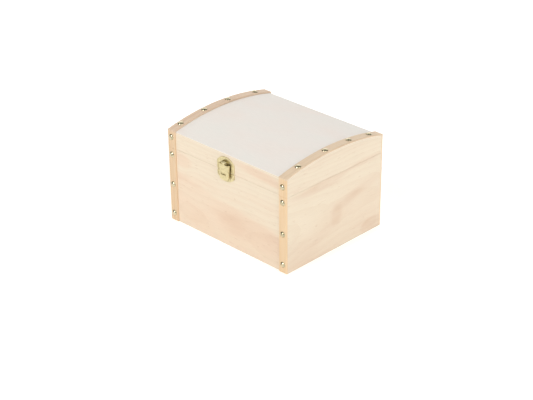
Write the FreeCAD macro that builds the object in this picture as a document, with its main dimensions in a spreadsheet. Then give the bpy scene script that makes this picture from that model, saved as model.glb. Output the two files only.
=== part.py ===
import FreeCAD, Part
import math
import os

import Sketcher
from FreeCAD import Placement, Rotation, Vector

# A small wooden treasure chest: a boarded box with a low arched lid, wooden straps at its four
# corners and over the lid, domed brass nails, two rear hinges and a brass hasp clasp.
# Millimetres. X runs to the right along the front, Y to the rear, Z up.
# The origin is the middle of the underside of the box.

DRIVING_SIZES = {
    # boards of the box and of the lid's frame
    "body_width": 190,
    "body_depth": 156,
    "base_height": 94.825,
    "seam_gap": 0.15,
    "lid_rail_height": 19.525,
    "lid_rise": 9.6,
    "wall": 8,
    "corner_lip": 4,
    # bottom panel and lid sheet
    "panel_thickness": 3,
    "panel_ledge": 4,
    "panel_clearance": 0.25,
    "sheet_thickness": 2,
    "glue_line": 0.1,
    # wooden straps
    "strip_width": 11.7,
    "strip_thickness": 1.6,
    "strip_round": 0.5,
    "board_round": 0.2,
    # domed nails
    "nail_head_radius": 3.6,
    "nail_head_height": 2.2,
    "nail_shank_radius": 0.7,
    "nail_shank_length": 6,
    # nails of the upright straps: two measured from the ground, then one below and one above the seam
    "front_left_nail_low": 9.9,
    "front_left_nail_middle": 47.9,
    "front_left_nail_drop": 8,
    "front_left_nail_rise": 14.2,
    "front_right_nail_low": 10.4,
    "front_right_nail_middle": 48.7,
    "front_right_nail_drop": 7,
    "front_right_nail_rise": 11.9,
    "rear_left_nail_low": 10.2,
    "rear_left_nail_middle": 48.3,
    "rear_left_nail_drop": 7.5,
    "rear_left_nail_rise": 13,
    "rear_right_nail_low": 10.2,
    "rear_right_nail_middle": 48.3,
    "rear_right_nail_drop": 7.5,
    "rear_right_nail_rise": 13,
    # nails of the bent straps: the outer two measured from the boards' faces, the inner two from the crown
    "left_arch_nail_front_inset": 13.6,
    "left_arch_nail_front": 26.7,
    "left_arch_nail_rear": 11.9,
    "left_arch_nail_rear_inset": 20.7,
    "right_arch_nail_front_inset": 22.5,
    "right_arch_nail_front": 12.3,
    "right_arch_nail_rear": 26.7,
    "right_arch_nail_rear_inset": 16.6,
    # rear hinges
    "hinge_inset": 15.5,
    "hinge_length": 24,
    "leaf_height": 13,
    "leaf_thickness": 1.2,
    "leaf_corner": 1.5,
    "hinge_pin_radius": 1.2,
    "running_clearance": 0.05,
    "knuckle_gap": 0.2,
    "notch_clearance": 0.4,
    "hinge_screw_spacing": 15,
    "hinge_screw_offset": 8.5,
    "screw_head_radius": 1.7,
    "screw_head_height": 0.8,
    "screw_shank_radius": 0.8,
    "screw_shank_length": 6,
    # clasp plates
    "clasp_width": 27,
    "clasp_thickness": 0.9,
    "clasp_seam_margin": 0.4,
    "clasp_corner": 1.5,
    "clasp_rim_width": 1.2,
    "clasp_rim_height": 0.3,
    "clasp_edge_round": 0.25,
    "lid_plate_height": 17.4,
    "lid_plate_shoulder": 10.5,
    "catch_plate_height": 12.1,
    "catch_plate_shoulder": 5.5,
    # hasp, its pin and the lug that it drops over
    "hasp_axis_rise": 11.375,
    "hasp_width": 15.6,
    "hasp_length": 21.4,
    "hasp_thickness": 0.9,
    "hasp_corner": 3,
    "hasp_bend": 0.5,
    "hasp_flange_top": 2.2,
    "hasp_flange_tip": 1,
    "hasp_pin_radius": 0.7,
    "hasp_knuckle_width": 3.6,
    "hasp_knuckle_room": 0.3,
    "ear_width": 1.6,
    "lug_width": 6.4,
    "lug_height": 1.1,
    "lug_tip_height": 0.9,
    "lug_clearance": 0.3,
    "lug_drop": 1.3,
    "slot_side_room": 0.6,
    "slot_end_room": 0.5,
    # small pins of the clasp plates
    "pin_head_radius": 1.3,
    "pin_head_height": 0.6,
    "pin_shank_radius": 0.5,
    "pin_shank_length": 5,
    "lid_plate_pin_spread": 20,
    "lid_plate_pin_rise": 6.5,
    "catch_plate_pin_spread": 21.2,
    "catch_plate_pin_drop": 4.2,
}

ABOUT_X = Vector(1, 0, 0)
ABOUT_Y = Vector(0, 1, 0)
SAME_PLACE = 0.01
OVERCUT = 1

doc = FreeCAD.newDocument("treasure_chest")
sheet = doc.addObject("Spreadsheet::Sheet", "sizes")
for row, (alias, millimetres) in enumerate(DRIVING_SIZES.items(), start=1):
    sheet.set(f"A{row}", alias)
    sheet.set(f"B{row}", str(millimetres))
    sheet.setAlias(f"B{row}", alias)
doc.recompute()


class Size:
    """A length that carries its number and the sheet expression that gives it."""

    def __init__(self, number, text):
        self.number = number
        self.text = text

    def __add__(self, other):
        other = as_size(other)
        return Size(self.number + other.number, f"({self.text} + {other.text})")

    def __sub__(self, other):
        other = as_size(other)
        return Size(self.number - other.number, f"({self.text} - {other.text})")

    def __mul__(self, other):
        other = as_size(other)
        return Size(self.number * other.number, f"({self.text} * {other.text})")

    def __truediv__(self, other):
        other = as_size(other)
        return Size(self.number / other.number, f"({self.text} / {other.text})")

    def __neg__(self):
        return Size(-self.number, f"(0 - {self.text})")

    __radd__ = __add__
    __rmul__ = __mul__


def as_size(value):
    return value if isinstance(value, Size) else Size(float(value), str(value))


def root(size):
    return Size(math.sqrt(size.number), f"sqrt({size.text})")


def on_sheet(alias):
    return Size(float(sheet.get(alias)), f"sizes.{alias}")


def bind(thing, path, size):
    thing.setExpression(path, as_size(size).text)


def bind_place(thing, x, y, z):
    for axis, value in (("x", x), ("y", y), ("z", z)):
        bind(thing, f"Placement.Base.{axis}", value)


nodes = []


def node(thing, label):
    thing.Label = label
    nodes.append(thing)
    return thing


def box(name, x_span, y_span, z_span):
    block = doc.addObject("Part::Box", name)
    for side, (low, high) in zip(("Length", "Width", "Height"), (x_span, y_span, z_span)):
        bind(block, side, as_size(high) - low)
    bind_place(block, x_span[0], y_span[0], z_span[0])
    return block


def rod(name, radius, length, start, rotation):
    cylinder = doc.addObject("Part::Cylinder", name)
    cylinder.Placement = Placement(Vector(), rotation)
    bind(cylinder, "Radius", radius)
    bind(cylinder, "Height", length)
    bind_place(cylinder, *start)
    return cylinder


def cut(name, base, tools):
    tool = tools[0]
    if len(tools) > 1:
        tool = doc.addObject("Part::Compound", f"{name}_tools")
        tool.Links = tools
    result = doc.addObject("Part::Cut", name)
    result.Base = base
    result.Tool = tool
    return result


def common(name, first, second):
    result = doc.addObject("Part::Common", name)
    result.Base = first
    result.Tool = second
    return result


def mirrored(sign, inner, outer):
    """The span from inner to outer on the side of the given sign, low end first."""
    return (inner, outer) if sign > 0 else (-as_size(outer), -as_size(inner))


def origin_plane(body, role):
    return next(plane for plane in body.Origin.OriginFeatures if plane.Role == role)


def new_sketch(body, name, role, offset=None):
    sketch = body.newObject("Sketcher::SketchObject", name)
    sketch.AttachmentSupport = [(origin_plane(body, role), "")]
    sketch.MapMode = "FlatFace"
    if offset is not None:
        bind(sketch, "AttachmentOffset.Base.z", offset)
    return sketch


def hold(sketch, kind, place, size):
    """Ties one coordinate of a sketch point to a size, measured from the sketch's origin."""
    size = as_size(size)
    geometry, end = place
    if size.number == 0:
        axis = -2 if kind == "DistanceX" else -1
        sketch.addConstraint(Sketcher.Constraint("PointOnObject", geometry, end, axis))
        return
    index = sketch.addConstraint(Sketcher.Constraint(kind, -1, 1, geometry, end, size.number))
    bind(sketch, f"Constraints[{index}]", size)


def hold_point(sketch, place, point):
    hold(sketch, "DistanceX", place, point[0])
    hold(sketch, "DistanceY", place, point[1])


def flat(point):
    return Vector(as_size(point[0]).number, as_size(point[1]).number, 0)


def circle(sketch, centre, radius):
    radius = as_size(radius)
    index = sketch.addGeometry(Part.Circle(flat(centre), Vector(0, 0, 1), radius.number))
    hold_point(sketch, (index, 3), centre)
    constraint = sketch.addConstraint(Sketcher.Constraint("Radius", index, radius.number))
    bind(sketch, f"Constraints[{constraint}]", radius)


def outline(sketch, points, arcs=None):
    """A closed outline through the points; arcs gives the centre of each bowed edge.

    An arc runs counter-clockwise from its point to the next one.
    """
    arcs = arcs or {}
    count = len(points)
    edges = []
    for index in range(count):
        start = flat(points[index])
        end = flat(points[(index + 1) % count])
        if index in arcs:
            middle = flat(arcs[index])
            first = math.atan2(start.y - middle.y, start.x - middle.x)
            last = math.atan2(end.y - middle.y, end.x - middle.x)
            full = Part.Circle(middle, Vector(0, 0, 1), start.distanceToPoint(middle))
            edges.append(sketch.addGeometry(Part.ArcOfCircle(full, first, last)))
        else:
            edges.append(sketch.addGeometry(Part.LineSegment(start, end)))
    for index in range(count):
        following = edges[(index + 1) % count]
        sketch.addConstraint(Sketcher.Constraint("Coincident", edges[index], 2, following, 1))
    for index in range(count):
        hold_point(sketch, (edges[index], 1), points[index])
    for index, centre in arcs.items():
        chord = flat(points[(index + 1) % count]) - flat(points[index])
        if abs(chord.x) > abs(chord.y):
            hold(sketch, "DistanceY", (edges[index], 3), centre[1])
        else:
            hold(sketch, "DistanceX", (edges[index], 3), centre[0])


def rectangle(sketch, x_span, y_span):
    low_x, high_x = x_span
    low_y, high_y = y_span
    outline(sketch, [(low_x, low_y), (high_x, low_y), (high_x, high_y), (low_x, high_y)])


def new_body(name):
    return doc.addObject("PartDesign::Body", name)


def pad(body, sketch, length, both_ways=False):
    feature = body.newObject("PartDesign::Pad", f"{sketch.Name}_pad")
    feature.Profile = sketch
    feature.Midplane = both_ways
    bind(feature, "Length", length)
    doc.recompute()
    return feature


def pocket_through(body, sketch):
    before = body.Shape.Volume
    feature = body.newObject("PartDesign::Pocket", f"{sketch.Name}_pocket")
    feature.Profile = sketch
    feature.Type = "ThroughAll"
    feature.Midplane = True
    doc.recompute()
    if body.Shape.Volume >= before:
        raise RuntimeError(f"{feature.Name} cuts nothing")
    return feature


def near(number, size):
    return abs(number - as_size(size).number) < SAME_PLACE


def edge_points(edge):
    middle = edge.valueAt((edge.FirstParameter + edge.LastParameter) / 2)
    return [vertex.Point for vertex in edge.Vertexes] + [middle]


def round_edges(body, name, base, radius, chosen):
    """Rounds the edges of a body's last feature whose points satisfy chosen."""
    edges = enumerate(base.Shape.Edges, start=1)
    names = [f"Edge{number}" for number, edge in edges if chosen(edge_points(edge))]
    feature = body.newObject("PartDesign::Fillet", name)
    feature.Base = (base, names)
    bind(feature, "Radius", radius)
    doc.recompute()
    return feature


def eased(name, solid, radius, chosen):
    """A wooden piece with the arrises that show taken off."""
    body = new_body(f"{name}_eased")
    body.BaseFeature = solid
    doc.recompute()
    round_edges(body, f"{name}_arrises", body.Group[0], radius, chosen)
    return body


body_width = on_sheet("body_width")
body_depth = on_sheet("body_depth")
wall = on_sheet("wall")
corner_lip = on_sheet("corner_lip")
base_height = on_sheet("base_height")
seam_gap = on_sheet("seam_gap")
glue_line = on_sheet("glue_line")
sheet_thickness = on_sheet("sheet_thickness")
strip_width = on_sheet("strip_width")
strip_thickness = on_sheet("strip_thickness")
strip_round = on_sheet("strip_round")
board_round = on_sheet("board_round")
running_clearance = on_sheet("running_clearance")

half_width = body_width / 2
half_depth = body_depth / 2
strip_face = half_depth + strip_thickness
lid_bottom = base_height + seam_gap

SIDES = (("left", -1), ("right", 1))
ENDS = (("front", -1), ("rear", 1))
SIDE_NAMES = {side: name for name, side in SIDES}
END_NAMES = {end: name for name, end in ENDS}
FACING = {-1: Rotation(ABOUT_X, 90), 1: Rotation(ABOUT_X, -90)}

# The sheet's underside is one arc over the depth of the box, level with the rails' outer edges.
lid_rise = on_sheet("lid_rise")
arch_radius = (half_depth * half_depth + lid_rise * lid_rise) / (2 * lid_rise)
arch_crown = lid_bottom + on_sheet("lid_rail_height") + lid_rise
arch_centre = arch_crown - arch_radius
strip_underside = arch_radius + sheet_thickness + glue_line
strip_top = strip_underside + strip_thickness


def on_arch(radius):
    """Chooses the edges that lie on the arch of the given radius."""
    centre = Vector(0, 0, arch_centre.number)
    return lambda points: all(
        near(Vector(0, point.y, point.z).distanceToPoint(centre), radius) for point in points)


def arch_cylinder(name, radius):
    """A cylinder along X about the arch's axis, as long as the lid is wide."""
    start = (-half_width, 0, arch_centre)
    return rod(name, radius, body_width, start, Rotation(ABOUT_Y, 90))


# Nails, screws and pins are turned pieces: a domed head on a pointed shank.
# Each is drawn upright with its seat at the origin and is then set in place.
def round_headed(name, prefix):
    head_radius = on_sheet(f"{prefix}_head_radius")
    head_height = on_sheet(f"{prefix}_head_height")
    shank_radius = on_sheet(f"{prefix}_shank_radius")
    shank_length = on_sheet(f"{prefix}_shank_length")
    dome = (head_radius * head_radius + head_height * head_height) / (2 * head_height)
    tip = shank_radius * 2
    body = new_body(name)
    sketch = new_sketch(body, f"{name}_section", "XZ_Plane")
    points = [
        (0, -shank_length),
        (shank_radius, tip - shank_length),
        (shank_radius, 0),
        (head_radius, 0),
        (0, head_height),
    ]
    outline(sketch, points, {3: (0, head_height - dome)})
    turned = body.newObject("PartDesign::Revolution", f"{name}_turned")
    turned.Profile = sketch
    turned.ReferenceAxis = (sketch, ["V_Axis"])
    turned.Angle = 360
    doc.recompute()
    return body


def fastener_group(label, pattern, places):
    """Copies of one fastener, each at a place (x, y, z) with its head turned outwards."""
    copies = []
    for index, (x, y, z, rotation) in enumerate(places, start=1):
        copy = doc.addObject("App::Link", f"{label}_{index}")
        copy.LinkedObject = pattern
        copy.Placement = Placement(Vector(), rotation)
        bind_place(copy, x, y, z)
        copies.append(copy)
    group = doc.addObject("Part::Compound", f"{label}_group")
    group.Links = copies
    return node(group, label)


def drill_holes(name, prefix, places):
    """Pilot holes for fasteners at their places, clear of the shank all round and at its tip."""
    radius = on_sheet(f"{prefix}_shank_radius") + running_clearance
    depth = on_sheet(f"{prefix}_shank_length") + running_clearance
    holes = []
    for index, (x, y, z, rotation) in enumerate(places, start=1):
        downwards = rotation * Rotation(ABOUT_X, 180)
        holes.append(rod(f"{name}_{prefix}_hole_{index}", radius, depth, (x, y, z), downwards))
    return holes


# Where every fastener sits. The nails were spaced by eye, so each strap has its own places.
strip_middle = half_width - strip_width / 2


def upright_nail(end, side, height):
    return (side * strip_middle, end * strip_face, height, FACING[end])


def base_nail_places(end, side):
    strap = f"{END_NAMES[end]}_{SIDE_NAMES[side]}"
    heights = (
        on_sheet(f"{strap}_nail_low"),
        on_sheet(f"{strap}_nail_middle"),
        base_height - on_sheet(f"{strap}_nail_drop"),
    )
    return [upright_nail(end, side, height) for height in heights]


def lid_nail_places(end, side):
    rise = on_sheet(f"{END_NAMES[end]}_{SIDE_NAMES[side]}_nail_rise")
    return [upright_nail(end, side, lid_bottom + rise)]


def arch_nail_places(side):
    strap = f"{SIDE_NAMES[side]}_arch_nail"
    places = []
    for y in (on_sheet(f"{strap}_front_inset") - half_depth, -on_sheet(f"{strap}_front"),
              on_sheet(f"{strap}_rear"), half_depth - on_sheet(f"{strap}_rear_inset")):
        height = arch_centre + root(strip_top * strip_top - y * y)
        lean = -math.degrees(math.asin(y.number / strip_top.number))
        places.append((side * strip_middle, y, height, Rotation(ABOUT_X, lean)))
    return places


hinge_pin_radius = on_sheet("hinge_pin_radius")
leaf_thickness = on_sheet("leaf_thickness")
hinge_knuckle = hinge_pin_radius + running_clearance + leaf_thickness
hinge_axis_y = half_depth + hinge_knuckle
hinge_axis_z = base_height + seam_gap / 2
hinge_length = on_sheet("hinge_length")
hinge_middle = half_width - strip_width - on_sheet("hinge_inset") - hinge_length / 2
hinge_screw_offset = on_sheet("hinge_screw_offset")


def hinge_screw_places(up):
    places = []
    for _, side in SIDES:
        for step in (-1, 1):
            x = side * hinge_middle + step * on_sheet("hinge_screw_spacing") / 2
            z = hinge_axis_z + up * hinge_screw_offset
            places.append((x, half_depth + leaf_thickness, z, FACING[1]))
    return places


clasp_thickness = on_sheet("clasp_thickness")
clasp_seam_margin = on_sheet("clasp_seam_margin")
clasp_floor = clasp_thickness - on_sheet("clasp_rim_height")
clasp_face = -(half_depth + clasp_floor)
lid_plate_bottom = lid_bottom + clasp_seam_margin
catch_plate_top = base_height - clasp_seam_margin


def lid_plate_pin_places():
    spread = on_sheet("lid_plate_pin_spread") / 2
    height = lid_plate_bottom + on_sheet("lid_plate_pin_rise")
    return [(step * spread, clasp_face, height, FACING[-1]) for step in (-1, 1)]


def catch_plate_pin_places():
    spread = on_sheet("catch_plate_pin_spread") / 2
    height = catch_plate_top - on_sheet("catch_plate_pin_drop")
    return [(step * spread, clasp_face, height, FACING[-1]) for step in (-1, 1)]


def both_sides(places, end):
    return [place for _, side in SIDES for place in places(end, side)]


# Base box: the side boards run the full depth, with their ends rebated to a thin lip.
# The front and rear boards seat in those rebates, and the bottom panel in a ledge round the lower edge.
panel_top = on_sheet("panel_thickness")
ledge = on_sheet("panel_ledge")
side_inner = half_width - wall
inner_depth = half_depth - wall
rebate_x = half_width - corner_lip
ledge_y = inner_depth + ledge


def long_board(name, end, z_span):
    """A front or rear board, square at both ends."""
    return box(f"{name}_blank", (-rebate_x, rebate_x), mirrored(end, inner_depth, half_depth), z_span)


def side_board(name, side, z_span):
    """A side board with the rebates that take the ends of the front and rear boards."""
    board = box(f"{name}_blank", mirrored(side, side_inner, half_width), (-half_depth, half_depth), z_span)
    rebates = []
    for end_name, end in ENDS:
        x_span = mirrored(side, side_inner, rebate_x)
        y_span = mirrored(end, inner_depth, half_depth)
        rebates.append(box(f"{name}_{end_name}_rebate", x_span, y_span, z_span))
    return cut(f"{name}_rebated", board, rebates)


def at_seam(level, axis, face):
    """Chooses the outer edge of a board along the seam, on the face at that place on the axis."""
    return lambda points: all(
        near(point.z, level) and near(abs(getattr(point, axis)), face) for point in points)


for end_name, end in ENDS:
    label = f"{end_name}_wall"
    board = long_board(label, end, (0, base_height))
    ledge_span = mirrored(end, inner_depth, ledge_y)
    ledge_cut = box(f"{label}_ledge", (-rebate_x, rebate_x), ledge_span, (0, panel_top))
    board = cut(f"{label}_ledged", board, [ledge_cut])
    board = eased(label, board, board_round, at_seam(base_height, "y", half_depth))
    tools = drill_holes(label, "nail", both_sides(base_nail_places, end))
    if end < 0:
        tools += drill_holes(label, "pin", catch_plate_pin_places())
    else:
        tools += drill_holes(label, "screw", hinge_screw_places(-1))
    node(cut(f"{label}_board", board, tools), label)

for side_name, side in SIDES:
    label = f"{side_name}_wall"
    board = side_board(label, side, (0, base_height))
    ledge_span = mirrored(side, side_inner, side_inner + ledge)
    ledge_cut = box(f"{label}_ledge", ledge_span, (-ledge_y, ledge_y), (0, panel_top))
    board = cut(f"{label}_board", board, [ledge_cut])
    node(eased(label, board, board_round, at_seam(base_height, "x", half_width)), label)

panel_x = side_inner + ledge - on_sheet("panel_clearance")
panel_y = ledge_y - on_sheet("panel_clearance")
node(box("bottom_board", (-panel_x, panel_x), (-panel_y, panel_y), (0, panel_top)), "bottom_panel")

# Straps of the base stand on the ground with the walls and stop at the seam.
strip_inner = half_width - strip_width


def on_strip_face(points):
    """Chooses the four edges round a strap's face, and not the rims of its nail holes."""
    across = any(near(abs(point.x), half_width) or near(abs(point.x), strip_inner) for point in points)
    return across and all(near(abs(point.y), strip_face) for point in points)


for end_name, end in ENDS:
    for side_name, side in SIDES:
        label = f"{end_name}_{side_name}_strip"
        lath = box(f"{label}_blank", mirrored(side, strip_inner, half_width),
                   mirrored(end, half_depth, strip_face), (0, base_height))
        lath = cut(f"{label}_lath", lath, drill_holes(label, "nail", base_nail_places(end, side)))
        node(eased(label, lath, strip_round, on_strip_face), label)

# Lid frame: rails and end boards jointed like those of the base, sawn to the underside of the sheet.
frame_span = (lid_bottom, arch_crown)


def sawn_to_arch(name, board):
    return common(f"{name}_sawn", board, arch_cylinder(f"{name}_arch", arch_radius - glue_line))


for end_name, end in ENDS:
    label = f"lid_{end_name}_rail"
    sawn = sawn_to_arch(label, long_board(label, end, frame_span))
    sawn = eased(label, sawn, board_round, at_seam(lid_bottom, "y", half_depth))
    tools = drill_holes(label, "nail", both_sides(lid_nail_places, end))
    if end < 0:
        tools += drill_holes(label, "pin", lid_plate_pin_places())
    else:
        tools += drill_holes(label, "screw", hinge_screw_places(1))
    node(cut(f"{label}_board", sawn, tools), label)

for side_name, side in SIDES:
    label = f"lid_{side_name}_end"
    sawn = sawn_to_arch(label, side_board(label, side, frame_span))
    sawn = eased(label, sawn, board_round, at_seam(lid_bottom, "x", half_width))
    node(cut(f"{label}_board", sawn, drill_holes(label, "nail", arch_nail_places(side))), label)

# Lid sheet: thin plywood bent over the frame, its edges flush with the boards.
sheet_top = arch_radius + sheet_thickness
sheet_block = box("sheet_block", (-half_width, half_width), (-half_depth, half_depth),
                  (lid_bottom, arch_crown + sheet_thickness))
bent = common("sheet_bent", sheet_block, arch_cylinder("sheet_outside", sheet_top))
bent = eased("sheet", bent, board_round, lambda points: (
    on_arch(sheet_top)(points) and all(near(abs(point.y), half_depth) for point in points)))
hollow = [arch_cylinder("sheet_inside", arch_radius)]
for side_name, side in SIDES:
    hollow += drill_holes(f"sheet_{side_name}", "nail", arch_nail_places(side))
node(cut("sheet_board", bent, hollow), "lid_top_sheet")

# Straps of the lid: one bent over the sheet at each end, and short upright ones under its tips.
for side_name, side in SIDES:
    label = f"lid_{side_name}_arch_strip"
    x_span = mirrored(side, strip_inner, half_width)
    block = box(f"{label}_block", x_span, (-strip_face, strip_face),
                (lid_bottom, arch_centre + strip_top))
    bent = common(f"{label}_bent", block, arch_cylinder(f"{label}_outside", strip_top))
    bent = eased(label, bent, strip_round, on_arch(strip_top))
    tools = [arch_cylinder(f"{label}_inside", strip_underside)]
    tools += drill_holes(label, "nail", arch_nail_places(side))
    node(cut(f"{label}_lath", bent, tools), label)
    for end_name, end in ENDS:
        label = f"lid_{end_name}_{side_name}_strip"
        block = box(f"{label}_block", x_span, mirrored(end, half_depth, strip_face), frame_span)
        under_arch = arch_cylinder(f"{label}_arch", strip_underside - glue_line)
        sawn = common(f"{label}_sawn", block, under_arch)
        sawn = eased(label, sawn, strip_round, lambda points: (
            on_strip_face(points) and any(near(point.z, lid_bottom) for point in points)))
        holes = drill_holes(label, "nail", lid_nail_places(end, side))
        node(cut(f"{label}_lath", sawn, holes), label)

nail = round_headed("nail", "nail")
base_places = [place for _, end in ENDS for place in both_sides(base_nail_places, end)]
lid_places = [place for _, end in ENDS for place in both_sides(lid_nail_places, end)]
lid_places += [place for _, side in SIDES for place in arch_nail_places(side)]
fastener_group("base_strip_nails", nail, base_places)
fastener_group("lid_strip_nails", nail, lid_places)

# Rear hinges: each leaf is a strip rolled round the pin at one edge, so its section is a P.
# The roll of five knuckles is notched, leaving three on the base leaf and two on the lid leaf.
leaf_height = on_sheet("leaf_height")
knuckle_gap = on_sheet("knuckle_gap")
KNUCKLES = 5


def hinge_leaf(name, notched):
    body = new_body(name)
    section = new_sketch(body, f"{name}_section", "YZ_Plane")
    front = leaf_thickness - hinge_knuckle
    meeting = -root(hinge_knuckle * hinge_knuckle - front * front)
    points = [(front, meeting), (-hinge_knuckle, 0), (-hinge_knuckle, -leaf_height), (front, -leaf_height)]
    outline(section, points, {0: (0, 0)})
    circle(section, (0, 0), hinge_pin_radius + running_clearance)
    pad(body, section, hinge_length, both_ways=True)
    openings = new_sketch(body, f"{name}_openings", "XZ_Plane")
    reach = hinge_knuckle + on_sheet("notch_clearance")
    pitch = hinge_length / KNUCKLES
    for index in notched:
        left = pitch * index - hinge_length / 2 - knuckle_gap / 2
        rectangle(openings, (left, left + pitch + knuckle_gap), (-reach, reach))
    for step in (-1, 1):
        centre = (step * on_sheet("hinge_screw_spacing") / 2, -hinge_screw_offset)
        circle(openings, centre, on_sheet("screw_shank_radius") + running_clearance)
    notched_leaf = pocket_through(body, openings)
    round_edges(body, f"{name}_corners", notched_leaf, on_sheet("leaf_corner"), lambda points: (
        all(near(point.z, -leaf_height) and near(abs(point.x), hinge_length / 2) for point in points)))
    return body


for side_name, side in SIDES:
    hinge_x = side * hinge_middle
    base_leaf = hinge_leaf(f"{side_name}_base_leaf", (1, 3))
    bind_place(base_leaf, hinge_x, hinge_axis_y, hinge_axis_z)
    node(base_leaf, f"{side_name}_hinge_base_leaf")
    lid_leaf = hinge_leaf(f"{side_name}_lid_leaf", (0, 2, 4))
    lid_leaf.Placement = Placement(Vector(), Rotation(ABOUT_Y, 180))
    bind_place(lid_leaf, hinge_x, hinge_axis_y, hinge_axis_z)
    node(lid_leaf, f"{side_name}_hinge_lid_leaf")
    start = (hinge_x - hinge_length / 2, hinge_axis_y, hinge_axis_z)
    pin = rod(f"{side_name}_pin", hinge_pin_radius, hinge_length, start, Rotation(ABOUT_Y, 90))
    node(pin, f"{side_name}_hinge_pin")

screw = round_headed("screw", "screw")
fastener_group("hinge_base_screws", screw, hinge_screw_places(-1))
fastener_group("hinge_lid_screws", screw, hinge_screw_places(1))

# Clasp: two stamped plates with bowed ends, one on the lid's rail and one on the front board.
# The lid plate's ears hold the hasp's pin, and the hanging hasp just clears the lug on the catch plate.
clasp_half = on_sheet("clasp_width") / 2
clasp_corner = on_sheet("clasp_corner")
hasp_thickness = on_sheet("hasp_thickness")
hasp_pin_radius = on_sheet("hasp_pin_radius")
hasp_bore = hasp_pin_radius + running_clearance
hasp_knuckle = hasp_bore + hasp_thickness
hasp_axis_z = lid_plate_bottom + on_sheet("hasp_axis_rise")
hasp_standoff = clasp_thickness + on_sheet("hasp_knuckle_room") + hasp_knuckle
hasp_axis_y = -(half_depth + hasp_standoff)
hasp_knuckle_half = on_sheet("hasp_knuckle_width") / 2
ear_start = hasp_knuckle_half + knuckle_gap
ear_end = ear_start + on_sheet("ear_width")


def clasp_outline(sketch, shoulder, height, inset=0):
    """A plate whose straight edge lies on the sketch's X axis and whose far end is bowed."""
    bow = height - shoulder
    radius = (clasp_half * clasp_half + bow * bow) / (2 * bow)
    centre = height - radius
    half = clasp_half - inset
    straight = clasp_half - clasp_corner
    bowed = radius - inset
    meeting = centre + root(bowed * bowed - half * half)
    points = [
        (-straight, inset),
        (straight, inset),
        (half, clasp_corner),
        (half, meeting),
        (-half, meeting),
        (-half, clasp_corner),
    ]
    outline(sketch, points, {1: (straight, clasp_corner), 3: (0, centre), 5: (-straight, clasp_corner)})


def stamped_plate(name, shoulder, height):
    """A clasp plate with rounded edges and a sunk field inside its rim."""
    body = new_body(name)
    blank = new_sketch(body, f"{name}_blank", "XZ_Plane")
    clasp_outline(blank, shoulder, height)
    plate = pad(body, blank, clasp_thickness)
    round_edges(body, f"{name}_edge", plate, on_sheet("clasp_edge_round"), lambda points: (
        all(near(point.y, -clasp_thickness) for point in points)))
    field = new_sketch(body, f"{name}_field", "XZ_Plane", clasp_thickness)
    clasp_outline(field, shoulder, height, on_sheet("clasp_rim_width"))
    before = body.Shape.Volume
    sunk = body.newObject("PartDesign::Pocket", f"{name}_sunk")
    sunk.Profile = field
    bind(sunk, "Length", on_sheet("clasp_rim_height"))
    doc.recompute()
    if body.Shape.Volume >= before:
        raise RuntimeError(f"{sunk.Name} cuts nothing")
    return body


def pin_holes(body, name, centres):
    sketch = new_sketch(body, name, "XZ_Plane")
    for centre in centres:
        circle(sketch, centre, on_sheet("pin_shank_radius") + running_clearance)
    pocket_through(body, sketch)


lid_plate = stamped_plate("lid_plate", on_sheet("lid_plate_shoulder"), on_sheet("lid_plate_height"))
plate_middle = clasp_floor / 2
axis_rise = on_sheet("hasp_axis_rise")
for ear_name, ear_left in (("left", -ear_end), ("right", ear_start)):
    ear = new_sketch(lid_plate, f"{ear_name}_ear", "YZ_Plane", ear_left)
    low = axis_rise - hasp_knuckle
    high = axis_rise + hasp_knuckle
    points = [(-plate_middle, low), (-plate_middle, high), (-hasp_standoff, high), (-hasp_standoff, low)]
    outline(ear, points, {2: (-hasp_standoff, axis_rise)})
    circle(ear, (-hasp_standoff, axis_rise), hasp_bore)
    pad(lid_plate, ear, on_sheet("ear_width"))
pin_holes(lid_plate, "lid_plate_holes",
          [(x, z - lid_plate_bottom) for x, _, z, _ in lid_plate_pin_places()])
bind_place(lid_plate, 0, -half_depth, lid_plate_bottom)
node(lid_plate, "clasp_plate")

catch = stamped_plate("catch", on_sheet("catch_plate_shoulder"), on_sheet("catch_plate_height"))
lug_half = on_sheet("lug_height") / 2
lug_drop = on_sheet("lug_drop")
lug = new_sketch(catch, "lug", "YZ_Plane")
lug_tip = -(hasp_standoff + hasp_bore - on_sheet("lug_clearance"))
lug_top = lug_drop - lug_half
points = [
    (-plate_middle, lug_top),
    (-plate_middle, lug_drop + lug_half),
    (lug_tip, lug_top + on_sheet("lug_tip_height")),
    (lug_tip, lug_top),
]
outline(lug, points)
pad(catch, lug, on_sheet("lug_width"), both_ways=True)
pin_holes(catch, "catch_holes",
          [(x, catch_plate_top - z) for x, _, z, _ in catch_plate_pin_places()])
catch.Placement = Placement(Vector(), Rotation(ABOUT_Y, 180))
bind_place(catch, 0, -half_depth, catch_plate_top)
node(catch, "catch_plate")

clasp_pin = round_headed("clasp_pin", "pin")
fastener_group("clasp_plate_pins", clasp_pin, lid_plate_pin_places())
fastener_group("catch_plate_pins", clasp_pin, catch_plate_pin_places())

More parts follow.
